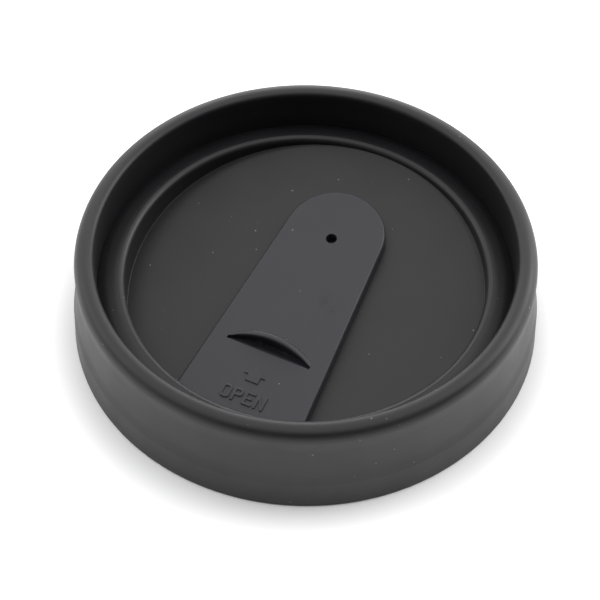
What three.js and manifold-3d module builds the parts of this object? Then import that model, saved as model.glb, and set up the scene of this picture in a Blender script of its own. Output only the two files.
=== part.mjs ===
// Press-on lid for an insulated tumbler, with a sliding shutter over its drinking hole.
// Millimetres, +Z up. The origin is the centre of the ring the lid stands on, and the shutter opens along +Y.
import * as THREE from 'three';
import { mergeVertices } from 'three/addons/utils/BufferGeometryUtils.js';
import Module from 'manifold-3d';

const wasm = await Module();
wasm.setup();

// Outer wall of the lid, from the base up
const baseRadius = 46.0;
const baseEdgeRounding = 0.5;
const bandHeight = 6.5; // plain band round the foot
const bandTaper = 0.3;
const creaseDepth = 0.22; // the wall steps in above the band
const creaseHeight = 0.4;
const wallBulgeHeight = 9.6;
const wallBulgeRounding = 26;
const waistRadius = baseRadius - 1.4;
const waistHeight = 17.2;

// Rim: an outer lip and a higher inner bead with a fine valley between them
const rimRadius = baseRadius - 1.0;
const rimHeight = 20.65;
const lipHeight = 2.05;
const lipRounding = 1.35;
const lipWidth = 1.9;
const valleyDepth = 0.12;
const beadRise = 0.55;
const beadWidth = 1.7;
const beadRounding = 1.7;

// Well inside the rim, and the raised ledge round the floor
const wellRadius = rimRadius - 4.1;
const wellDepth = 8.05; // from the lip to the foot of the ledge
const ledgeWidth = 5.5;
const ledgeRise = 1.5; // the ledge is highest round the floor and falls towards the wall
const ledgeRounding = 1.4;
const stepRadius = wellRadius - ledgeWidth;

// Tilted floor
const floorTilt = 8.37; // degrees, high on the side the shutter opens towards
const floorHeight = 7.2; // top of the floor on the lid's axis
const floorThickness = 1.6;

// Underside
const plugWall = 2.0;
const plugFoot = 0.3;
const sealGrooveDepth = 0.8;
const sealGrooveHeight = 3.0;
const sealGrooveBottom = 4.2;
const cupSeatHeight = 10.9; // the cup's lip stops here
const skirtWall = 1.8;
const skirtDraft = 0.6;

// Seal ring
const sealClearance = 0.08;
const sealReach = 1.3; // how far its two lips stand out of the plug
const sealLipThickness = 0.6;

// Shutter plate
const shutterTipRadius = 10.12;
const shutterTipCentre = 13.23;
const shutterTaper = 4.15; // degrees on each side
const shutterGap = 0.3;
const shutterThickness = 2.1;
const shutterEdge = 0.3;
const shutterTailClearance = 0.7;
const shutterTailRounding = 1.2;
const shutterTravel = 9.5;
const ventRadius = 1.1;
const ventPosition = 12.2;

// Drinking hole in the floor, under the shutter's tail
const drinkHoleWidth = 15.0;
const drinkHoleLength = 6.8;
const drinkHoleFromStep = 2.4;

// Guide legs under the shutter and their slot in the floor
const legLength = 6.5;
const legThickness = 1.1;
const legSpread = 2.2;
const legFromTail = 15.2;
const barbReach = 1.3;
const barbHeight = 1.2;
const barbClearance = 0.3;
const slotSideClearance = 0.3;
const slotEndClearance = 0.4;

// Finger grip on the shutter: an arched ridge with a scoop in front of it
const gripHalfWidth = 8.7;
const gripPosition = -15.5;
const gripAdvance = 2.7;
const gripHeight = 2.1;
const gripWidth = 1.7;
const gripRoot = 0.7;
const scoopDepth = 1.5;
const scoopLength = 1.2; // how far the scoop runs out behind the ridge's ends

const turns = 90; // facets round the lid
const embed = 0.8; // overlap of pieces that are moulded as one

const radians = THREE.MathUtils.degToRad;
const slope = Math.tan(radians(floorTilt));

const polypropylene = new THREE.MeshStandardMaterial({ color: 0x434345, roughness: 0.55, metalness: 0 });
const shutterPlastic = new THREE.MeshStandardMaterial({ color: 0x4d4e53, roughness: 0.5, metalness: 0 });
const silicone = new THREE.MeshStandardMaterial({ color: 0x2c2c2e, roughness: 0.75, metalness: 0 });

// Closed outline from corners [x, y, rounding], given anticlockwise, with each rounding drawn as an arc.
function roundedOutline(corners, degreesPerStep = 46) {
  const points = [];
  corners.forEach(([x, y, rounding = 0], i) => {
    const here = new THREE.Vector2(x, y);
    const [beforeX, beforeY] = corners.at(i - 1);
    const [afterX, afterY] = corners[(i + 1) % corners.length];
    const back = new THREE.Vector2(beforeX, beforeY).sub(here);
    const ahead = new THREE.Vector2(afterX, afterY).sub(here);
    const room = Math.min(back.length(), ahead.length()) * 0.49;
    back.normalize();
    ahead.normalize();
    const half = Math.acos(THREE.MathUtils.clamp(back.dot(ahead), -1, 1)) / 2;
    const reach = Math.min(rounding / Math.tan(half), room);
    if (reach < 1e-3) {
      points.push(here);
      return;
    }
    const radius = reach * Math.tan(half);
    const centre = back.clone().add(ahead).normalize().multiplyScalar(radius / Math.sin(half)).add(here);
    const from = back.multiplyScalar(reach).add(here).sub(centre);
    const to = ahead.multiplyScalar(reach).add(here).sub(centre);
    const sweep = Math.atan2(from.cross(to), from.dot(to));
    const steps = Math.ceil(Math.abs(THREE.MathUtils.radToDeg(sweep)) / degreesPerStep);
    for (let k = 0; k <= steps; k += 1) {
      points.push(from.clone().rotateAround(new THREE.Vector2(), (sweep * k) / steps).add(centre));
    }
  });
  return points;
}

// Ring turned round the Z axis from an outline of [radius, height, rounding] corners.
function turnedRing(corners) {
  const outline = roundedOutline(corners);
  return new THREE.LatheGeometry([...outline, outline[0]], turns).rotateX(Math.PI / 2);
}

function toSolid(geometry) {
  const bare = geometry.clone();
  bare.deleteAttribute('normal');
  bare.deleteAttribute('uv');
  const merged = mergeVertices(bare.index ? bare.toNonIndexed() : bare, 1e-4);
  return new wasm.Manifold(new wasm.Mesh({
    numProp: 3,
    vertProperties: merged.attributes.position.array,
    triVerts: Uint32Array.from(merged.index.array),
  }));
}

function toGeometry(solid) {
  const { vertProperties, triVerts } = solid.getMesh();
  const geometry = new THREE.BufferGeometry();
  geometry.setAttribute('position', new THREE.BufferAttribute(vertProperties, 3));
  geometry.setIndex(new THREE.BufferAttribute(triVerts, 1));
  geometry.computeVertexNormals();
  return geometry;
}

// Prism of a shape between two heights, with an optional small bevel on its edges.
function prism(shape, bottom, top, edge = 0) {
  return new THREE.ExtrudeGeometry(shape, {
    depth: top - bottom - 2 * edge,
    curveSegments: 20,
    bevelEnabled: edge > 0,
    bevelThickness: edge,
    bevelSize: edge,
    bevelOffset: -edge,
    bevelSegments: 2,
  }).translate(0, 0, bottom + edge);
}

// Everything on the tilted floor is drawn level and then laid on the floor's plane.
function layOnFloor(geometry) {
  return geometry.rotateX(radians(floorTilt)).translate(0, 0, floorHeight);
}

// Distance up the slope of a point at a given distance from the lid's axis in plan.
const upSlope = (planDistance) => planDistance / Math.cos(radians(floorTilt));

function lidRing() {
  const bandTop = baseRadius - bandTaper;
  const crease = bandTop - creaseDepth;
  const plugRadius = stepRadius + plugWall;
  const grooveRadius = plugRadius - sealGrooveDepth;
  const valleyRadius = rimRadius - lipWidth;
  const beadTop = rimHeight + beadRise;
  const ledgeFoot = rimHeight - wellDepth;
  const ledgeTop = ledgeFoot + ledgeRise;
  const skirtInner = baseRadius - skirtWall;
  return turnedRing([
    [baseRadius, 0, baseEdgeRounding],
    [bandTop, bandHeight, 0.3],
    [crease, bandHeight + creaseHeight, 0.2],
    [crease - 0.02, wallBulgeHeight, wallBulgeRounding],
    [waistRadius, waistHeight, 2.5],
    [rimRadius, rimHeight - lipHeight, 0.7],
    [rimRadius, rimHeight, lipRounding],
    [valleyRadius + valleyDepth, rimHeight],
    [valleyRadius, rimHeight - valleyDepth],
    [wellRadius + beadWidth, beadTop, 0.6],
    [wellRadius, beadTop, beadRounding],
    [wellRadius, ledgeFoot, 0.8],
    [stepRadius + ledgeRounding, ledgeTop, 2.5],
    [stepRadius, ledgeTop, ledgeRounding],
    [stepRadius, plugFoot],
    [plugRadius, plugFoot, 0.8],
    [plugRadius, sealGrooveBottom],
    [grooveRadius, sealGrooveBottom],
    [grooveRadius, sealGrooveBottom + sealGrooveHeight],
    [plugRadius, sealGrooveBottom + sealGrooveHeight],
    [plugRadius, cupSeatHeight],
    [skirtInner - skirtDraft, cupSeatHeight],
    [skirtInner, 0, 0.5],
  ]);
}

// Flat tilted plate that fills the plug and sinks into its wall.
function floorPlate() {
  const bigger = baseRadius * 2;
  const plate = layOnFloor(new THREE.BoxGeometry(bigger, bigger, floorThickness).translate(0, 0, -floorThickness / 2));
  const core = new THREE.CylinderGeometry(stepRadius + embed, stepRadius + embed, bigger, turns).rotateX(Math.PI / 2);
  return toSolid(plate).intersect(toSolid(core));
}

function stadium(width, length, centre) {
  const radius = Math.min(width, length) / 2;
  const x = width / 2;
  const y = length / 2;
  const outline = roundedOutline([
    [x, centre + y, radius],
    [-x, centre + y, radius],
    [-x, centre - y, radius],
    [x, centre - y, radius],
  ], 15);
  return new THREE.Shape(outline);
}

// Centre of the shutter's tail edge, and where its guide legs start, when the shutter is shut.
const tailRadius = stepRadius - shutterTailClearance;
const legStart = -upSlope(tailRadius) + legFromTail;

function floorHoles() {
  const through = [-floorThickness * 3, floorThickness * 3];
  const drinkCentre = -upSlope(stepRadius - drinkHoleFromStep) + drinkHoleLength / 2;
  const slotWidth = 2 * (legSpread + legThickness + slotSideClearance);
  const slotLength = legLength + shutterTravel + 2 * slotEndClearance;
  const slotCentre = legStart - slotEndClearance + slotLength / 2;
  const slot = new THREE.Shape(roundedOutline([
    [slotWidth / 2, slotCentre + slotLength / 2, 0.4],
    [-slotWidth / 2, slotCentre + slotLength / 2, 0.4],
    [-slotWidth / 2, slotCentre - slotLength / 2, 0.4],
    [slotWidth / 2, slotCentre - slotLength / 2, 0.4],
  ]));
  const vent = new THREE.Shape().absarc(0, ventPosition + shutterTravel, ventRadius, 0, Math.PI * 2);
  return [stadium(drinkHoleWidth, drinkHoleLength, drinkCentre), slot, vent]
    .map((shape) => toSolid(layOnFloor(prism(shape, ...through))));
}

function lidBody() {
  let body = toSolid(lidRing()).add(floorPlate());
  floorHoles().forEach((hole) => { body = body.subtract(hole); });
  return toGeometry(body);
}

// Silicone ring in the plug's groove, with two soft lips that press on the inside of the cup.
function sealRing() {
  const plugRadius = stepRadius + plugWall;
  const inner = plugRadius - sealGrooveDepth + sealClearance;
  const outer = plugRadius + sealReach;
  const root = plugRadius + 0.1;
  const bottom = sealGrooveBottom + sealClearance;
  const top = sealGrooveBottom + sealGrooveHeight - sealClearance;
  const middle = (bottom + top) / 2;
  return turnedRing([
    [inner, bottom],
    [root, bottom],
    [outer, bottom + sealLipThickness, 0.2],
    [outer, bottom + sealLipThickness * 1.5],
    [root, middle],
    [outer, top - sealLipThickness * 0.6, 0.2],
    [outer, top - sealLipThickness * 0.1],
    [root, top],
    [inner, top],
  ]);
}

// Tapered plate with a round tip; its tail follows the curve of the step.
function shutterOutline() {
  const taper = radians(shutterTaper);
  const halfWidthAt = (y) => (shutterTipRadius + (shutterTipCentre - y) * Math.sin(taper)) / Math.cos(taper);
  const tangentY = shutterTipCentre + shutterTipRadius * Math.sin(taper);
  const tangentX = shutterTipRadius * Math.cos(taper);
  const tailEdge = (angle) => [tailRadius * Math.sin(angle), -upSlope(tailRadius * Math.cos(angle))];
  const cornerAngle = Math.asin(halfWidthAt(-tailRadius * 0.92) / tailRadius);
  const corners = [[tangentX, tangentY]];
  const tipSteps = 24;
  for (let i = 1; i < tipSteps; i += 1) {
    const angle = taper + ((Math.PI - 2 * taper) * i) / tipSteps;
    corners.push([
      shutterTipRadius * Math.cos(angle),
      shutterTipCentre + shutterTipRadius * Math.sin(angle),
    ]);
  }
  corners.push([-tangentX, tangentY]);
  const tailSteps = 10;
  for (let i = 0; i <= tailSteps; i += 1) {
    const [x, y] = tailEdge(cornerAngle * ((2 * i) / tailSteps - 1));
    const onCorner = i === 0 || i === tailSteps;
    corners.push([x, y, onCorner ? shutterTailRounding : 0]);
  }
  return roundedOutline(corners, 30);
}

function shutterPlate() {
  const shape = new THREE.Shape(shutterOutline());
  shape.holes.push(new THREE.Path().absarc(0, ventPosition, ventRadius, 0, Math.PI * 2, true));
  return prism(shape, shutterGap, shutterGap + shutterThickness, shutterEdge);
}

// Skin over a row of closed sections with equal numbers of points, capped at both ends.
function loft(sections) {
  const size = sections[0].length;
  const positions = sections.flat().flatMap((p) => [p.x, p.y, p.z]);
  const index = [];
  for (let i = 0; i + 1 < sections.length; i += 1) {
    for (let j = 0; j < size; j += 1) {
      const a = i * size + j;
      const b = i * size + ((j + 1) % size);
      index.push(a, b, a + size, b, b + size, a + size);
    }
  }
  const last = (sections.length - 1) * size;
  for (let j = 1; j + 1 < size; j += 1) {
    index.push(0, j + 1, j, last, last + j, last + j + 1);
  }
  const geometry = new THREE.BufferGeometry();
  geometry.setAttribute('position', new THREE.Float32BufferAttribute(positions, 3));
  geometry.setIndex(index);
  return geometry;
}

// Arched ridge: it rises, thickens and moves forward from its ends to its middle.
function gripRidge() {
  const top = shutterGap + shutterThickness;
  const stations = 24;
  const sections = [];
  for (let i = 0; i <= stations; i += 1) {
    const u = -1 + (2 * i) / stations;
    const swell = Math.max(1 - u * u, 0.02);
    const x = gripHalfWidth * u;
    const y = gripPosition + gripAdvance * swell;
    const height = gripHeight * swell ** 0.75;
    const width = 0.25 + (gripWidth - 0.25) * Math.sqrt(swell);
    const outline = roundedOutline([
      [y - width * 0.6, top + height, Math.min(width * 0.42, height * 0.6)],
      [y - width * 0.6 - 0.05, top - gripRoot],
      [y + width * 0.5 + height * 0.25, top - gripRoot],
      [y + width * 0.2, top + height, Math.min(width * 0.35, height * 0.5)],
    ], 22).map((p) => new THREE.Vector3(x, p.x, p.y));
    sections.push(outline);
  }
  const size = Math.min(...sections.map((section) => section.length));
  return loft(sections.map((section) => resample(section, size)));
}

// Same closed section with a given number of points, spread evenly from its first point.
function resample(section, count) {
  const closed = new THREE.CurvePath();
  section.forEach((point, i) => closed.add(new THREE.LineCurve3(point, section[(i + 1) % section.length])));
  return Array.from({ length: count }, (_, i) => closed.getPointAt(i / count));
}

// Cutter for the scoop: its floor ramps down from a straight rear edge to the foot of the ridge.
function scoopCutter() {
  const top = shutterGap + shutterThickness;
  const rear = gripPosition - scoopLength;
  const reach = scoopLength + gripAdvance;
  const steps = 16;
  const outline = [[gripHalfWidth, rear]];
  for (let i = 0; i <= steps; i += 1) {
    const u = 1 - (2 * i) / steps;
    outline.push([gripHalfWidth * u, gripPosition + (gripAdvance - gripWidth * 0.3) * (1 - u * u)]);
  }
  outline.push([-gripHalfWidth, rear]);
  const shape = new THREE.Shape(outline.map(([x, y]) => new THREE.Vector2(x, y - rear)));
  const ramp = Math.atan2(scoopDepth, reach);
  return prism(shape, 0, gripHeight * 2).rotateX(-ramp).translate(0, rear, top);
}

// Pair of legs that pass through the slot and hook under the floor.
function guideLegs() {
  const top = shutterGap + embed;
  const hookTop = -floorThickness - barbClearance;
  const hookBottom = hookTop - barbHeight;
  const outer = legSpread + legThickness;
  return [1, -1].map((side) => {
    const shape = new THREE.Shape([
      [legSpread, top],
      [legSpread, hookBottom],
      [outer, hookBottom],
      [outer + barbReach, hookTop],
      [outer, hookTop],
      [outer, top],
    ].map(([x, y]) => new THREE.Vector2(x, y)));
    const leg = new THREE.ExtrudeGeometry(shape, { depth: legLength, bevelEnabled: false })
      .rotateX(Math.PI / 2)
      .translate(0, legStart + legLength, 0);
    return toSolid(side > 0 ? leg : leg.rotateZ(Math.PI).translate(0, 2 * legStart + legLength, 0));
  });
}

function slideShutter() {
  let shutter = toSolid(shutterPlate()).subtract(toSolid(scoopCutter())).add(toSolid(gripRidge()));
  guideLegs().forEach((leg) => { shutter = shutter.add(leg); });
  return toGeometry(shutter);
}

function namedMesh(name, geometry, material) {
  const mesh = new THREE.Mesh(geometry, material);
  mesh.name = name;
  return mesh;
}

const lid = new THREE.Group();
lid.add(namedMesh('lid_body', lidBody(), polypropylene));
lid.add(namedMesh('seal_ring', sealRing(), silicone));

const shutter = namedMesh('slide_shutter', slideShutter(), shutterPlastic);
shutter.rotation.x = radians(floorTilt);
shutter.position.z = floorHeight;
lid.add(shutter);

export default lid;
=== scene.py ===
import math

import bmesh
import bpy
from mathutils import Matrix, Vector


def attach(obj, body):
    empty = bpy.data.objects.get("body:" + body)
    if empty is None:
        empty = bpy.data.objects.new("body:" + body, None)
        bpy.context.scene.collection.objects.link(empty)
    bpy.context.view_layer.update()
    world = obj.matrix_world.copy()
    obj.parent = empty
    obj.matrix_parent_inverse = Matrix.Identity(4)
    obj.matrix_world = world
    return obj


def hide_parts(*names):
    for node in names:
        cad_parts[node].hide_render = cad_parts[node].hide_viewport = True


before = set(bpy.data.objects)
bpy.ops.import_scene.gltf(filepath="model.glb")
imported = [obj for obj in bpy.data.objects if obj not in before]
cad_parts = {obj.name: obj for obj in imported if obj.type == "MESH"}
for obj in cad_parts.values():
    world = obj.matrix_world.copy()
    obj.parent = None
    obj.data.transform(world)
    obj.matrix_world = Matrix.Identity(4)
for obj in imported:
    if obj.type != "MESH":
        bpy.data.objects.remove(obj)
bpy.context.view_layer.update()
print("frame loaded")

mm = 0.001  # the frame is in metres, the sizes below are in millimetres
weldDistance = 1e-4  # points closer than this are joined


def linearColour(hexColour):
    channels = [int(hexColour[i:i + 2], 16) / 255 for i in (1, 3, 5)]
    return [c / 12.92 if c <= 0.04045 else ((c + 0.055) / 1.055) ** 2.4 for c in channels] + [1]


def addNode(tree, kind, inputs=None, **settings):
    node = tree.nodes.new("ShaderNode" + kind)
    for name, value in settings.items():
        setattr(node, name, value)
    for name, value in (inputs or {}).items():
        if isinstance(value, bpy.types.NodeSocket):
            tree.links.new(value, node.inputs[name])
        else:
            node.inputs[name].default_value = value
    return node


def direction(azimuth, elevation):
    # unit vector away from the lid, in degrees; azimuth 0 is towards -Y and 90 towards +X
    azimuth, elevation = math.radians(azimuth), math.radians(elevation)
    level = math.cos(elevation)
    return Vector((math.sin(azimuth) * level, -math.cos(azimuth) * level, math.sin(elevation)))


# Mesh helpers

def roundedCorners(corners, stepDegrees=9):
    # corners are (x, y) or (x, y, rounding), anticlockwise; each rounding becomes an arc
    nearlyHalf, tooSmall = 0.49, 1e-3
    points = []
    for i, corner in enumerate(corners):
        here = Vector(corner[:2])
        back = Vector(corners[i - 1][:2]) - here
        ahead = Vector(corners[(i + 1) % len(corners)][:2]) - here
        rounding = corner[2] if len(corner) > 2 else 0
        half = back.angle(ahead) / 2
        reach = min(rounding / math.tan(half), nearlyHalf * min(back.length, ahead.length))
        if reach < tooSmall:
            points.append(here)
            continue
        points += cornerArc(here, back.normalized(), ahead.normalized(), reach, stepDegrees)
    return points


def cornerArc(corner, back, ahead, reach, stepDegrees=9, steps=None):
    half = back.angle(ahead) / 2
    centre = corner + (back + ahead).normalized() * (reach / math.cos(half))
    start = corner + back * reach - centre
    sweep = (math.pi - 2 * half) * (1 if start.cross(corner + ahead * reach - centre) > 0 else -1)
    steps = steps or max(1, math.ceil(math.degrees(abs(sweep)) / stepDegrees))
    return [centre + Matrix.Rotation(sweep * k / steps, 2) @ start for k in range(steps + 1)]


def alongPath(path, distance):
    for a, b in zip(path, path[1:]):
        length = (b - a).length
        if distance <= length:
            return a + (b - a) * (distance / length if length else 0)
        distance -= length
    return path[-1].copy()


def meshPiece(name, points, faces, outward=False):
    # points in millimetres; the object is in metres
    mesh = bpy.data.meshes.new(name)
    mesh.from_pydata([Vector(p) * mm for p in points], [], faces)
    piece = placed(name, mesh)
    tidyMesh(piece, outward=outward)
    return piece


def placed(name, data):
    thing = bpy.data.objects.new(name, data)
    bpy.context.scene.collection.objects.link(thing)
    return thing


def tidyMesh(piece, weld=weldDistance, outward=False):
    work = bmesh.new()
    work.from_mesh(piece.data)
    bmesh.ops.remove_doubles(work, verts=work.verts, dist=weld * mm)
    bmesh.ops.dissolve_degenerate(work, edges=work.edges, dist=weld * mm)
    if outward:
        bmesh.ops.recalc_face_normals(work, faces=work.faces)
    work.to_mesh(piece.data)
    work.free()


def applyModifiers(piece):
    view = bpy.context.evaluated_depsgraph_get()
    mesh = bpy.data.meshes.new_from_object(piece.evaluated_get(view))
    piece.modifiers.clear()
    piece.data = mesh


def carve(piece, other, operation):
    # one exact boolean, and the other object is used up
    step = piece.modifiers.new(operation, "BOOLEAN")
    step.operation = operation
    step.solver = "EXACT"
    step.object = other
    applyModifiers(piece)
    bpy.data.objects.remove(other)
    tidyMesh(piece)


def shadeMoulded(piece, sharpDegrees=38):
    piece.data.shade_smooth()
    piece.data.set_sharp_from_angle(angle=math.radians(sharpDegrees))
    even = piece.modifiers.new("evenShading", "WEIGHTED_NORMAL")
    even.keep_sharp = True
    applyModifiers(piece)


def lofted(name, sections):
    # closed body through sections with equal numbers of points, capped at both ends
    size, last = len(sections[0]), len(sections) - 1
    faces = []
    for i in range(last):
        for j in range(size):
            k = (j + 1) % size
            faces.append((i * size + j, i * size + k, (i + 1) * size + k, (i + 1) * size + j))
    faces.append(tuple(range(size))[::-1])
    faces.append(tuple(range(last * size, (last + 1) * size)))
    return meshPiece(name, [p for section in sections for p in section], faces, outward=True)


def stack(name, layers, heights):
    # lofted through level outlines
    return lofted(name, [[(p.x, p.y, z) for p in layer] for layer, z in zip(layers, heights)])


def inset(outline, distance):
    # the outline is convex and anticlockwise
    moved = []
    for i, here in enumerate(outline):
        edge = (outline[(i + 1) % len(outline)] - outline[i - 1]).normalized()
        moved.append(here + Vector((-edge.y, edge.x)) * distance)
    return moved


# The lid's body: one turned moulding whose floor is tilted

lidBody = {
    "foot": [(46.0, 0, 0.5), (45.78, 6.6, 0.6)],
    "barrel": [(45.32, 9.0, 10), (44.85, 16.5, 8)],
    "rim": [(44.95, 19.4, 4), (43.9, 20.95, 4), (42.3, 21.3, 4), (41.1, 20.8, 1.2), (40.9, 19.0, 4)],
    "ledge": [(40.9, 12.0), (39.3, 12.95, 3.5), (37.0, 13.55, 6)],
    "stepRadius": 35.4,
    "stepHeight": 13.6,
    "stepRounding": 1.176,
    "stepArcSteps": 16,
    "floorHeight": 7.2,
    "floorThickness": 1.6,
    "floorTilt": 8.37,  # degrees, high towards +Y
    "floorFillet": 0.15,
    "floorRings": (10, 20, 30),
    "underFillet": 0.35,
    "plugFootRounding": 0.3,
    "plug": [(37.4, 0.3, 0.8), (37.4, 4.2), (36.6, 4.2), (36.6, 7.2), (37.4, 7.2), (37.4, 10.9, 0.4)],
    "cupSeat": [(43.6, 10.9, 0.5), (44.2, 0, 0.5)],
    "plugFoot": 0.3,
    "turns": 240,
}

tilt = math.radians(lidBody["floorTilt"])
slope = math.tan(tilt)


def upSlope(planDistance):
    return planDistance / math.cos(tilt)


def layOnFloor(piece):
    # drawn level round the origin, then laid on the tilted floor's plane
    lift = Matrix.Translation((0, 0, lidBody["floorHeight"] * mm))
    piece.data.transform(lift @ Matrix.Rotation(tilt, 4, "X"))
    return piece


def outerPath():
    d = lidBody
    corners = d["plug"] + d["cupSeat"] + d["foot"] + d["barrel"] + d["rim"] + d["ledge"]
    whole = [(d["stepRadius"], d["plugFoot"])] + corners + [(d["stepRadius"], d["stepHeight"])]
    return roundedCorners(whole)[1:-1]


def stepPath():
    # from the crown of the ledge over its inner edge and down the wall below it
    d = lidBody
    corner = Vector((d["stepRadius"], d["stepHeight"]))
    arc = cornerArc(corner, Vector((1, 0)), Vector((0, -1)), d["stepRounding"], steps=d["stepArcSteps"])
    return arc + [Vector((d["stepRadius"], -1))]


def topOfFloor(step, rise):
    # the part of the step that stands above the floor, a fillet, and the floor to near the axis
    d = lidBody
    arcPoints, wallPoints, filletPoints, shortest = 12, 4, 6, 0.02
    floorAt = lambda r: d["floorHeight"] + rise * r
    arcLength = sum((b - a).length for a, b in zip(step[:-2], step[1:-1]))
    low, high = 0, arcLength + d["stepHeight"]
    for _ in range(30):  # halvings, to find where the step meets the floor
        middle = (low + high) / 2
        p = alongPath(step, middle)
        low, high = (middle, high) if p.y > floorAt(p.x) else (low, middle)
    meet = alongPath(step, low)
    cut = max(low - d["floorFillet"], shortest)
    onArc = min(cut, arcLength)
    points = [alongPath(step, onArc * k / arcPoints) for k in range(arcPoints + 1)]
    points += [alongPath(step, onArc + (cut - onArc) * k / wallPoints) for k in range(1, wallPoints + 1)]
    inward = Vector((-1, -rise)).normalized()
    start, end = points[-1], meet + inward * d["floorFillet"]
    for k in range(1, filletPoints + 1):
        t = k / filletPoints
        points.append(start * (1 - t) ** 2 + meet * 2 * t * (1 - t) + end * t ** 2)
    return points + [Vector((r, floorAt(r))) for r in reversed(d["floorRings"])]


def underFloor(rise):
    # the floor's underside from near the axis to the plug's foot
    d = lidBody
    drop = d["floorHeight"] - d["floorThickness"] / math.cos(tilt)
    underAt = lambda r: drop + rise * r
    corner = Vector((d["stepRadius"], underAt(d["stepRadius"])))
    foot = Vector((d["stepRadius"], d["plugFoot"]))
    room = 0.45 * (corner - foot).length  # a little less than half for each arc
    inward = Vector((-1, -rise)).normalized()
    points = [Vector((r, underAt(r))) for r in d["floorRings"]]
    points += cornerArc(corner, inward, Vector((0, -1)), min(d["underFillet"], room), steps=4)
    points += cornerArc(foot, Vector((0, 1)), Vector((1, 0)), min(d["plugFootRounding"], room), steps=4)
    return points


def turned(name, pathAt, turns, poles=None):
    # skin over one outline for each angle; poles are the heights where it closes on the axis
    rings = [pathAt(2 * math.pi * i / turns) for i in range(turns)]
    size = len(rings[0])
    points, faces = [], []
    for i, ring in enumerate(rings):
        angle = 2 * math.pi * i / turns
        points += [(p.x * math.cos(angle), p.x * math.sin(angle), p.y) for p in ring]
        start, after = i * size, (i + 1) % turns * size
        last = size if poles is None else size - 1
        for j in range(last):
            k = (j + 1) % size
            faces.append((start + j, after + j, after + k, start + k))
    if poles:
        bottom, top = len(points), len(points) + 1
        points += [(0, 0, poles[0]), (0, 0, poles[1])]
        for i in range(turns):
            start, after = i * size, (i + 1) % turns * size
            faces.append((bottom, after, start))
            faces.append((top, start + size - 1, after + size - 1))
    return meshPiece(name, points, faces)


shutterSlide = {
    "tipRadius": 10.25,
    "tipCentre": 13.38,
    "taper": 4.15,  # degrees on each side
    "gap": 0.3,
    "thickness": 2.1,
    "edge": 0.6,
    "edgeSteps": 6,
    "bottomEdge": 0.15,
    "tipSteps": 72,
    "tailClearance": 0.7,
    "tailRounding": 1.2,
    "tailSteps": 28,
    "tailCorner": 0.92,  # share of the tail's radius at which the sides meet it
    "travel": 9.5,
    "ventRadius": 1.1,
    "ventPosition": 12.2,
    "ventEdge": 0.07,
}

floorHoles = {
    "drinkWidth": 15.0,
    "drinkLength": 6.8,
    "drinkRounding": 3.35,
    "drinkFromStep": 2.4,
    "slotSideClearance": 0.3,
    "slotEndClearance": 0.4,
    "slotRounding": 0.4,
    "edge": 0.25,
}

guideLegs = {
    "length": 6.5,
    "thickness": 1.1,
    "spread": 2.2,
    "fromTail": 15.2,
    "barbReach": 1.3,
    "barbHeight": 1.2,
    "barbClearance": 0.3,
    "embed": 0.8,  # how far a leg reaches into the shutter
}

tailRadius = lidBody["stepRadius"] - shutterSlide["tailClearance"]
legStart = -upSlope(tailRadius) + guideLegs["fromTail"]


def holeCutter(name, outline, top, bottom, edge):
    # a hole whose two mouths are eased
    overshoot, easing = 1, 0.3
    wide, middle = inset(outline, -edge), inset(outline, -edge * easing)
    layers = [wide, wide, middle, outline, outline, middle, wide, wide]
    heights = [bottom - overshoot, bottom, bottom + edge * easing, bottom + edge]
    heights += [top - edge, top - edge * easing, top, top + overshoot]
    return stack(name, layers, heights)


def slotOutline(width, length, centre, rounding):
    x, y = width / 2, length / 2
    return roundedCorners([
        (x, centre + y, rounding),
        (-x, centre + y, rounding),
        (-x, centre - y, rounding),
        (x, centre - y, rounding),
    ])


def circleOutline(y, radius, steps=40):
    angles = [2 * math.pi * k / steps for k in range(steps)]
    return [Vector((radius * math.cos(a), y + radius * math.sin(a))) for a in angles]


def makeLidBody():
    d, holes, legs = lidBody, floorHoles, guideLegs
    step, outer = stepPath(), outerPath()

    def pathAt(angle):
        rise = slope * math.sin(angle)
        return underFloor(rise) + outer + topOfFloor(step, rise)

    poles = (d["floorHeight"] - d["floorThickness"] / math.cos(tilt), d["floorHeight"])
    body = turned("lidBody", pathAt, d["turns"], poles)
    drinkCentre = -upSlope(d["stepRadius"] - holes["drinkFromStep"]) + holes["drinkLength"] / 2
    slotWidth = 2 * (legs["spread"] + legs["thickness"] + holes["slotSideClearance"])
    slotLength = legs["length"] + shutterSlide["travel"] + 2 * holes["slotEndClearance"]
    slotCentre = legStart - holes["slotEndClearance"] + slotLength / 2
    outlines = [
        slotOutline(holes["drinkWidth"], holes["drinkLength"], drinkCentre, holes["drinkRounding"]),
        slotOutline(slotWidth, slotLength, slotCentre, holes["slotRounding"]),
        circleOutline(shutterSlide["ventPosition"] + shutterSlide["travel"], shutterSlide["ventRadius"]),
    ]
    for outline in outlines:
        cutter = holeCutter("holeCutter", outline, 0, -d["floorThickness"], holes["edge"])
        carve(body, layOnFloor(cutter), "DIFFERENCE")
    shadeMoulded(body)
    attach(body, "lid")
    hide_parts("lid_body")
    return body


# The sliding shutter

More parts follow.
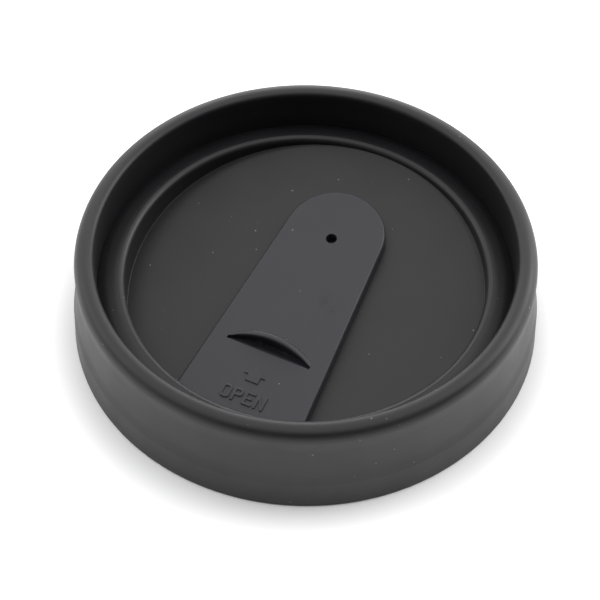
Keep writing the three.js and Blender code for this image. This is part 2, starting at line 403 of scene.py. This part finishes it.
def shutterOutline():
    d = shutterSlide
    taper = math.radians(d["taper"])
    halfWidthAt = lambda y: (d["tipRadius"] + (d["tipCentre"] - y) * math.sin(taper)) / math.cos(taper)
    points = []
    for i in range(d["tipSteps"] + 1):
        angle = taper + (math.pi - 2 * taper) * i / d["tipSteps"]
        points.append((d["tipRadius"] * math.cos(angle), d["tipCentre"] + d["tipRadius"] * math.sin(angle)))
    cornerAngle = math.asin(halfWidthAt(-tailRadius * d["tailCorner"]) / tailRadius)
    for i in range(d["tailSteps"] + 1):
        angle = cornerAngle * (2 * i / d["tailSteps"] - 1)
        rounding = d["tailRounding"] if i in (0, d["tailSteps"]) else 0
        points.append((tailRadius * math.sin(angle), -upSlope(tailRadius * math.cos(angle)), rounding))
    return roundedCorners(points)


fingerGrip = {
    "halfWidth": 8.9,
    "position": -15.95,  # of the ridge's ends
    "advance": 2.15,
    "advancePower": 0.75,
    "height": 2.08,
    "heightPower": 1.3,
    "width": 1.6,
    "endHeight": 0.06,
    "endWidth": 0.25,
    "endSwell": 0.005,  # keeps the end sections from closing to a line
    "stations": 64,
    # the ridge's section: places and roundings as shares of its width and height
    "front": 0.6,
    "frontRounding": (0.42, 0.6),
    "crest": 0.2,
    "crestRounding": (0.35, 0.5),
    "shoulder": (0.4, 0.2),
    "shoulderHeight": 0.25,
    "shoulderRounding": 0.3,
    "foot": (0.5, 0.25),
    "footFlare": 0.35,
    "footFlareGrowth": 1.5,
    "footSunk": 0.02,
    "root": 1.55,
    "undercut": 0.45,
    "sectionPoints": 40,
    # the scoop in front of it
    "scoopDepth": 1.6,
    "scoopRear": -16.8,
    "scoopEndDepth": 0.5,  # share of the depth that is left at its ends
    "scoopCurve": 1.7,
    "scoopFront": 0.3,  # share of the ridge's width
    "scoopStations": 40,
    "scoopRows": 14,
}


def ridgeStation(u):
    # u runs from -1 to 1 along the ridge; gives its place, height and width there
    d = fingerGrip
    swell = max(1 - u * u, d["endSwell"])
    return (
        d["position"] + d["advance"] * swell ** d["advancePower"],
        max(d["height"] * swell ** d["heightPower"], d["endHeight"]),
        d["endWidth"] + (d["width"] - d["endWidth"]) * math.sqrt(swell),
    )


def ridgeSection(u, top):
    d = fingerGrip
    y, height, width = ridgeStation(u)
    share = lambda pair: (pair[0] * width, pair[1] * height)
    front = y - width * d["front"]
    foot = y + sum(share(d["foot"])) + d["footFlare"] * min(1, height / d["height"] * d["footFlareGrowth"])
    outline = roundedCorners([
        (front, top + height, min(share(d["frontRounding"]))),
        (front + d["undercut"] * width / d["width"], top - d["root"]),
        (foot, top - d["root"]),
        (foot, top - d["footSunk"]),
        (y + sum(share(d["shoulder"])), top + d["shoulderHeight"] * height, height * d["shoulderRounding"]),
        (y + width * d["crest"], top + height, min(share(d["crestRounding"]))),
    ])
    closed = outline + outline[:1]
    total = sum((b - a).length for a, b in zip(closed, closed[1:]))
    even = [alongPath(closed, total * k / d["sectionPoints"]) for k in range(d["sectionPoints"])]
    return [(d["halfWidth"] * u, p.x, p.y) for p in even]


def gripRidge(top):
    # arched ridge that rises, thickens and moves forward from its ends to its middle
    count = fingerGrip["stations"]
    return lofted("gripRidge", [ridgeSection(-1 + 2 * i / count, top) for i in range(count + 1)])


def scoopSection(u, top):
    d = fingerGrip
    x, rear, rows, clear = d["halfWidth"] * u, d["scoopRear"], d["scoopRows"], 3
    y, _, width = ridgeStation(u)
    front = y - width * d["scoopFront"]
    deepest = d["scoopDepth"] * (d["scoopEndDepth"] + (1 - d["scoopEndDepth"]) * (1 - u * u))
    section = []
    for k in range(rows + 1):
        depth = deepest * math.sin(math.pi / 2 * k / rows) ** d["scoopCurve"]
        section.append((x, rear + (front - rear) * k / rows, top - depth))
    return section + [(x, front, top + clear), (x, rear, top + clear)]


def scoopCutter(top):
    # its floor curves down from a straight edge to the ridge's foot
    count = fingerGrip["scoopStations"]
    return lofted("scoopCutter", [scoopSection(1 - 2 * i / count, top) for i in range(count + 1)])


def guideLeg(side):
    legs = guideLegs
    root = shutterSlide["gap"] + legs["embed"]
    hookTop = -lidBody["floorThickness"] - legs["barbClearance"]
    hookEnd = hookTop - legs["barbHeight"]
    inner, outer = legs["spread"], legs["spread"] + legs["thickness"]
    section = [(inner, root), (inner, hookEnd), (outer, hookEnd), (outer + legs["barbReach"], hookTop),
               (outer, hookTop), (outer, root)]
    ends = (legStart, legStart + legs["length"])
    return lofted("guideLeg", [[(side * x, y, z) for x, z in section] for y in ends])


def makeShutter():
    d = shutterSlide
    bottom, top = d["gap"], d["gap"] + d["thickness"]
    outline = shutterOutline()
    layers, heights = [inset(outline, d["bottomEdge"]), outline], [bottom, bottom + d["bottomEdge"]]
    for k in range(d["edgeSteps"] + 1):
        angle = math.pi / 2 * k / d["edgeSteps"]
        layers.append(inset(outline, d["edge"] * (1 - math.cos(angle))))
        heights.append(top - d["edge"] * (1 - math.sin(angle)))
    plate = stack("slideShutter", layers, heights)
    carve(plate, scoopCutter(top), "DIFFERENCE")
    carve(plate, gripRidge(top), "UNION")
    vent = circleOutline(d["ventPosition"], d["ventRadius"])
    carve(plate, holeCutter("ventCutter", vent, top, bottom, d["ventEdge"]), "DIFFERENCE")
    for side in (1, -1):
        carve(plate, guideLeg(side), "UNION")
    layOnFloor(plate)
    shadeMoulded(plate)
    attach(plate, "shutter")
    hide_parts("slide_shutter")
    return plate


# Raised marks on the shutter: an arrow and the word OPEN in plain block letters

marks = {
    "height": 0.26,
    "edge": 0.09,
    "arrowTip": -20.35,
    "arrowHeadLength": 1.95,
    "arrowHalfWidth": 2.25,
    "arrowStemHalfWidth": 1.35,
    "arrowEnd": -23.72,
    "letterHeight": 3.0,
    "letterWidth": 2.0,
    "letterPitch": 2.42,
    "stroke": 0.5,
    "cornerRounding": 0.75,
    "innerRounding": 0.3,
    "middleArm": 0.85,  # share of the letter's width
    "diagonal": 0.32,  # share of the letter's height
    "baseline": -28.75,
    "left": -4.65,
    "weld": 1e-3,
}


def letterOutlines():
    # each letter is a list of outlines: the first is its outside, the rest are holes
    h, w, s = marks["letterHeight"], marks["letterWidth"], marks["stroke"]
    outer, inner = marks["cornerRounding"], marks["innerRounding"]
    arm, low = marks["middleArm"] * w, marks["diagonal"] * h
    under, over = (h - s) / 2, (h + s) / 2  # the middle stroke
    letterO = [[(0, 0, outer), (w, 0, outer), (w, h, outer), (0, h, outer)],
               [(s, s, inner), (w - s, s, inner), (w - s, h - s, inner), (s, h - s, inner)]]
    letterP = [[(0, 0), (s, 0), (s, under), (w, under, outer), (w, h, outer), (0, h)],
               [(s, over), (w - s, over, inner), (w - s, h - s, inner), (s, h - s)]]
    letterE = [[(0, 0), (w, 0), (w, s), (s, s), (s, under), (arm, under),
                (arm, over), (s, over), (s, h - s), (w, h - s), (w, h), (0, h)]]
    letterN = [[(0, 0), (s, 0), (s, h - low), (w - s, 0), (w, 0), (w, h), (w - s, h), (w - s, low),
                (s, h), (0, h)]]
    return [letterO, letterP, letterE, letterN]


def raisedMark(name, outlines, x, y):
    curve = bpy.data.curves.new(name, "CURVE")
    curve.dimensions = "2D"
    curve.fill_mode = "BOTH"
    curve.extrude = marks["height"] * mm
    curve.bevel_depth = marks["edge"] * mm
    curve.bevel_resolution = 1
    curve.offset = -marks["edge"] * mm
    for outline in outlines:
        points = roundedCorners(outline, stepDegrees=18)
        spline = curve.splines.new("POLY")
        spline.points.add(len(points) - 1)
        spline.use_cyclic_u = True
        for target, p in zip(spline.points, points):
            target.co = ((x + p.x) * mm, (y + p.y) * mm, 0, 1)
    shape = placed(name, curve)
    mesh = bpy.data.meshes.new_from_object(shape.evaluated_get(bpy.context.evaluated_depsgraph_get()))
    bpy.data.objects.remove(shape)
    mark = placed(name, mesh)
    tidyMesh(mark, marks["weld"])
    top = shutterSlide["gap"] + shutterSlide["thickness"]
    mark.data.transform(Matrix.Translation((0, 0, (top - marks["edge"]) * mm)))
    layOnFloor(mark)
    shadeMoulded(mark)
    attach(mark, "shutter")
    return mark


def makeMarks():
    d = marks
    headRear = d["arrowTip"] - d["arrowHeadLength"]
    arrow = [(0, d["arrowTip"]), (-d["arrowHalfWidth"], headRear), (-d["arrowStemHalfWidth"], headRear),
             (-d["arrowStemHalfWidth"], d["arrowEnd"]), (d["arrowStemHalfWidth"], d["arrowEnd"]),
             (d["arrowStemHalfWidth"], headRear), (d["arrowHalfWidth"], headRear)]
    made = [raisedMark("openArrow", [arrow], 0, 0)]
    for i, outlines in enumerate(letterOutlines()):
        x = d["left"] + i * d["letterPitch"]
        made.append(raisedMark("openLetter" + "OPEN"[i], outlines, x, d["baseline"]))
    return made


# The seal ring in the plug's groove

sealRing = {
    "inner": 36.68,
    "root": 37.5,
    "outer": 38.7,
    "bottom": 4.28,
    "top": 7.12,
    "rootRounding": 0.15,
    "lowLipRise": 0.6,
    "topLipDrop": 0.06,
    "lipThickness": 0.3,
    "lipRounding": 0.2,
    "valleyRounding": 0.3,
    "turns": 180,
}


def makeSealRing():
    d = sealRing
    lowLip, topLip = d["bottom"] + d["lowLipRise"], d["top"] - d["topLipDrop"]
    outline = roundedCorners([
        (d["inner"], d["bottom"]),
        (d["root"], d["bottom"], d["rootRounding"]),
        (d["outer"], lowLip, d["lipRounding"]),
        (d["outer"], lowLip + d["lipThickness"], d["lipRounding"]),
        (d["root"], (d["bottom"] + d["top"]) / 2, d["valleyRounding"]),
        (d["outer"], topLip - d["lipThickness"], d["lipRounding"]),
        (d["outer"], topLip, d["lipRounding"]),
        (d["root"], d["top"], d["rootRounding"]),
        (d["inner"], d["top"]),
    ], stepDegrees=20)
    ring = turned("sealRing", lambda angle: outline, d["turns"])
    shadeMoulded(ring)
    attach(ring, "lid")
    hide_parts("seal_ring")
    return ring


# Materials

def newMaterial(name):
    material = bpy.data.materials.new(name)
    material.use_nodes = True
    material.node_tree.nodes.clear()
    return material, material.node_tree


polypropyleneFinish = {
    "grain": 0.22,  # mm, the matt texture of the mould, coarser than real so that it shows
    "grainRoughness": 0.6,
    "grainHeight": 0.006,
    "grainStrength": 0.5,
    "clouding": 9.0,  # mm, slow change of sheen across a large moulding
    "cloudingRange": (0.3, 0.7),
    "sheenChange": (-0.03, 0.04),  # of the roughness
    "dust": {"spacing": 2.6, "size": 0.16, "share": 0.9, "stretch": 1},  # mm
    "lint": {"spacing": 9.0, "size": 0.16, "share": 0.5, "stretch": 0.22},  # short fibres
    "dustColour": "#77777a",
    "ior": 1.49,
}

lidFinish = {"colours": ("#151517", "#19191c"), "roughness": 0.45}
shutterFinish = {"colours": ("#28282e", "#2c2c32"), "roughness": 0.45}

thumbSmudge = {
    "place": (6.3, -2.0, 9.3),  # mm, a greasy trace on the shutter
    "size": 3.4,
    "patches": 2.2,
    "patchRange": (0.42, 0.6),
    "colour": "#1c1c1f",
}

siliconeFinish = {
    "colours": ("#262627", "#313133"),
    "bloom": 1.5,  # mm
    "bloomHeight": 0.01,
    "bloomStrength": 0.4,
    "roughness": 0.72,
    "ior": 1.41,
}


def scattered(tree, place, spacing, size, share, stretch):
    # one speck in a share of the cells, of random sizes
    stretched = addNode(tree, "VectorMath", {0: place, 1: (1, stretch, 1)}, operation="MULTIPLY")
    cells = addNode(tree, "TexVoronoi", {"Vector": stretched.outputs["Vector"], "Scale": 1 / (spacing * mm)})
    chosen = addNode(tree, "SeparateColor", {"Color": cells.outputs["Color"]}).outputs["Red"]
    reach = addNode(tree, "MapRange", {"Value": chosen, "From Min": 1 - share, "To Max": size / spacing})
    speck = addNode(tree, "Math", {0: cells.outputs["Distance"], 1: reach.outputs["Result"]},
                    operation="LESS_THAN")
    return speck.outputs["Value"]


def smudged(tree, place, colour):
    # patchy darker grease that fades out from its middle
    d = thumbSmudge
    middle = [v * mm for v in d["place"]]
    away = addNode(tree, "VectorMath", {0: place, 1: middle}, operation="DISTANCE").outputs["Value"]
    patches = addNode(tree, "TexNoise", {"Vector": place, "Scale": 1 / (d["patches"] * mm), "Detail": 3})
    wide = addNode(tree, "MapRange", {"Value": away, "From Min": d["size"] * mm, "From Max": 0},
                   interpolation_type="SMOOTHSTEP")
    low, high = d["patchRange"]
    uneven = addNode(tree, "MapRange", {"Value": patches.outputs["Fac"], "From Min": low, "From Max": high})
    worn = addNode(tree, "Math", {0: wide.outputs["Result"], 1: uneven.outputs["Result"]},
                   operation="MULTIPLY")
    greasy = addNode(tree, "Mix", {"Factor": worn.outputs["Value"], "A": colour,
                                   "B": linearColour(d["colour"])}, data_type="RGBA")
    return greasy.outputs["Result"]


def mouldedPolypropylene(name, finish, smudge=False):
    # satin injection moulding: soft broad highlights, a fine matt texture, a little dust and lint
    d = polypropyleneFinish
    material, tree = newMaterial(name)
    place = addNode(tree, "TexCoord").outputs["Object"]
    grain = addNode(tree, "TexNoise", {"Vector": place, "Scale": 1 / (d["grain"] * mm), "Detail": 2,
                                       "Roughness": d["grainRoughness"]}).outputs["Fac"]
    clouding = addNode(tree, "TexNoise", {"Vector": place, "Scale": 1 / (d["clouding"] * mm), "Detail": 3})
    low, high = d["cloudingRange"]
    glossier, duller = (finish["roughness"] + change for change in d["sheenChange"])
    sheen = addNode(tree, "MapRange", {"Value": clouding.outputs["Fac"], "From Min": low, "From Max": high,
                                       "To Min": glossier, "To Max": duller})
    dark, pale = (linearColour(c) for c in finish["colours"])
    colour = addNode(tree, "Mix", {"Factor": grain, "A": dark, "B": pale}, data_type="RGBA").outputs["Result"]
    if smudge:
        colour = smudged(tree, place, colour)
    dust = scattered(tree, place, **d["dust"])
    lint = scattered(tree, place, **d["lint"])
    fallen = addNode(tree, "Math", {0: dust, 1: lint}, operation="MAXIMUM").outputs["Value"]
    dusty = addNode(tree, "Mix", {"Factor": fallen, "A": colour, "B": linearColour(d["dustColour"])},
                    data_type="RGBA")
    relief = addNode(tree, "Bump", {"Height": grain, "Strength": d["grainStrength"],
                                    "Distance": d["grainHeight"] * mm})
    shader = addNode(tree, "BsdfPrincipled", {"Base Color": dusty.outputs["Result"],
                                              "Roughness": sheen.outputs["Result"],
                                              "Normal": relief.outputs["Normal"],
                                              "IOR": d["ior"]})
    addNode(tree, "OutputMaterial", {"Surface": shader.outputs["BSDF"]})
    return material


def mouldedSilicone():
    # compression moulded rubber: dull, slightly dusty, almost no highlight
    d = siliconeFinish
    material, tree = newMaterial("mouldedSilicone")
    place = addNode(tree, "TexCoord").outputs["Object"]
    bloom = addNode(tree, "TexNoise", {"Vector": place, "Scale": 1 / (d["bloom"] * mm), "Detail": 4})
    dark, pale = (linearColour(c) for c in d["colours"])
    tone = addNode(tree, "Mix", {"Factor": bloom.outputs["Fac"], "A": dark, "B": pale}, data_type="RGBA")
    relief = addNode(tree, "Bump", {"Height": bloom.outputs["Fac"], "Strength": d["bloomStrength"],
                                    "Distance": d["bloomHeight"] * mm})
    shader = addNode(tree, "BsdfPrincipled", {"Base Color": tone.outputs["Result"],
                                              "Roughness": d["roughness"],
                                              "Normal": relief.outputs["Normal"],
                                              "IOR": d["ior"]})
    addNode(tree, "OutputMaterial", {"Surface": shader.outputs["BSDF"]})
    return material


def dress(pieces, material):
    for piece in pieces:
        piece.data.materials.clear()
        piece.data.materials.append(material)


# Stage, light and camera

stage = {
    "floorSize": 12.0,  # metres
    "floorColour": "#f2f2f2",
    # the table glows where it is seen or mirrored, without lighting the lid; the glow is weakest near the
    # lid's foot, a painted shadow that also darkens the table mirrored in the lid's lower wall
    "glowInPaintedShadow": 0.1,
    "glowFar": 0.5,
    "paintedShadowFadeFrom": 45,  # mm from the lid's axis
    "paintedShadowFadeTo": 57,
    "skyElevation": 54,  # of the middle of the white sweep, behind and above as seen from the camera
    "skyEdge": (0.1, 0.6),  # cosine of the angle from that middle, dark and full
    "skyLight": 1.32,
    "roomLight": 0.02,
}

lampDistance = 1.0  # metres

# soft boxes at azimuth and elevation as seen from the lid, 0 being the camera's side and 90 its right
lamps = {
    "right": {"azimuth": 112, "elevation": 26, "size": 0.8, "watts": 4.8},
    "lowBack": {"azimuth": 180, "elevation": 14, "size": 0.8, "watts": 3.0},
    "left": {"azimuth": 255, "elevation": 30, "size": 0.8, "watts": 1.4},
    "frontLeft": {"azimuth": 300, "elevation": 22, "size": 0.8, "watts": 0.7},
}

# fitted to the outlines of the foot, rim, ledge, floor and shutter, for a chosen distance
photoCamera = {
    "azimuth": 25.458,
    "elevation": 51.556,
    "distance": 450.0,
    "lens": 134.69,
    "sensor": 36,
    "nearest": 0.01,  # metres
    "farthest": 50,
    "yaw": -0.1396,
    "pitch": 0.3849,
    "roll": 0.6459,
}


def makeFloor():
    half = stage["floorSize"] / 2
    corners = [(-half, -half, 0), (half, -half, 0), (half, half, 0), (-half, half, 0)]
    mesh = bpy.data.meshes.new("tableTop")
    mesh.from_pydata(corners, [], [(0, 1, 2, 3)])
    table = placed("tableTop", mesh)
    material, tree = newMaterial("whiteLaminate")  # matt and even, so that only the lid's shadow shows on it
    path = addNode(tree, "LightPath").outputs
    seen = path["Is Camera Ray"]
    for kind in ("Is Glossy Ray", "Is Transmission Ray"):
        seen = addNode(tree, "Math", {0: seen, 1: path[kind]}, operation="MAXIMUM").outputs["Value"]
    place = addNode(tree, "TexCoord").outputs["Object"]
    away = addNode(tree, "VectorMath", {0: place}, operation="LENGTH").outputs["Value"]
    # painted shadow: the glow rises with distance from the lid's axis, so the table is darker round its foot
    shadowedGlow = addNode(tree, "MapRange", {"Value": away,
                                      "From Min": stage["paintedShadowFadeFrom"] * mm, "From Max": stage["paintedShadowFadeTo"] * mm,
                                      "To Min": stage["glowInPaintedShadow"], "To Max": stage["glowFar"]},
                   interpolation_type="SMOOTHSTEP")
    lift = addNode(tree, "Math", {0: seen, 1: shadowedGlow.outputs["Result"]}, operation="MULTIPLY")
    matt = addNode(tree, "BsdfDiffuse", {"Color": linearColour(stage["floorColour"])})
    white = addNode(tree, "Emission", {"Color": (1, 1, 1, 1), "Strength": lift.outputs["Value"]})
    both = addNode(tree, "AddShader", {0: matt.outputs["BSDF"], 1: white.outputs["Emission"]})
    addNode(tree, "OutputMaterial", {"Surface": both.outputs["Shader"]})
    dress([table], material)


def makeWorld():
    # a white sweep behind and above, a dark room on the camera's side
    world = bpy.data.worlds.new("studioWorld")
    bpy.context.scene.world = world
    world.use_nodes = True
    tree = world.node_tree
    tree.nodes.clear()
    middle = direction(photoCamera["azimuth"] + 180, stage["skyElevation"])
    ahead = addNode(tree, "TexCoord").outputs["Generated"]
    facing = addNode(tree, "VectorMath", {0: ahead, 1: middle}, operation="DOT_PRODUCT").outputs["Value"]
    dark, full = stage["skyEdge"]
    strength = addNode(tree, "MapRange", {"Value": facing, "From Min": dark, "From Max": full,
                                          "To Min": stage["roomLight"], "To Max": stage["skyLight"]},
                       interpolation_type="SMOOTHSTEP")
    sky = addNode(tree, "Background", {"Color": (1, 1, 1, 1), "Strength": strength.outputs["Result"]})
    addNode(tree, "OutputWorld", {"Surface": sky.outputs["Background"]})


def makeLamps():
    for name, lamp in lamps.items():
        light = bpy.data.lights.new(name, "AREA")
        light.shape = "DISK"
        light.size = lamp["size"]
        light.energy = lamp["watts"]
        holder = placed(name, light)
        toLamp = direction(photoCamera["azimuth"] + lamp["azimuth"], lamp["elevation"])
        holder.location = toLamp * lampDistance
        holder.rotation_mode = "QUATERNION"
        holder.rotation_quaternion = (-toLamp).to_track_quat("-Z", "Y")


def makeCamera():
    d = photoCamera
    out = direction(d["azimuth"], d["elevation"])
    yaw, pitch, roll = (math.radians(d[k]) for k in ("yaw", "pitch", "roll"))
    right = direction(d["azimuth"] + 90, 0)
    up = right.cross(-out)
    ahead = (right * math.sin(yaw) - out * math.cos(yaw)) * math.cos(pitch) + up * math.sin(pitch)
    right = ahead.cross(up).normalized()
    up = right.cross(ahead)
    right, up = (right * math.cos(roll) + up * math.sin(roll), up * math.cos(roll) - right * math.sin(roll))
    data = bpy.data.cameras.new("photoCamera")
    data.lens = d["lens"]
    data.sensor_width = d["sensor"]
    data.clip_start, data.clip_end = d["nearest"], d["farthest"]
    camera = placed("photoCamera", data)
    turn = Matrix((right, up, -ahead)).transposed().to_4x4()
    camera.matrix_world = Matrix.Translation(out * d["distance"] * mm) @ turn
    bpy.context.scene.camera = camera


lidPiece = makeLidBody()
print("lid body made")
shutterPiece = makeShutter()
print("shutter made")
markPieces = makeMarks()
print("raised marks made")
sealPiece = makeSealRing()
print("seal ring made")

dress([lidPiece], mouldedPolypropylene("mouldedPolypropyleneLid", lidFinish))
shutterPlastic = mouldedPolypropylene("mouldedPolypropyleneShutter", shutterFinish, smudge=True)
dress([shutterPiece] + markPieces, shutterPlastic)
dress([sealPiece], mouldedSilicone())
print("materials set")

makeFloor()
makeWorld()
makeLamps()
makeCamera()
bpy.context.scene.view_settings.view_transform = "Standard"
print("stage, light and camera set")
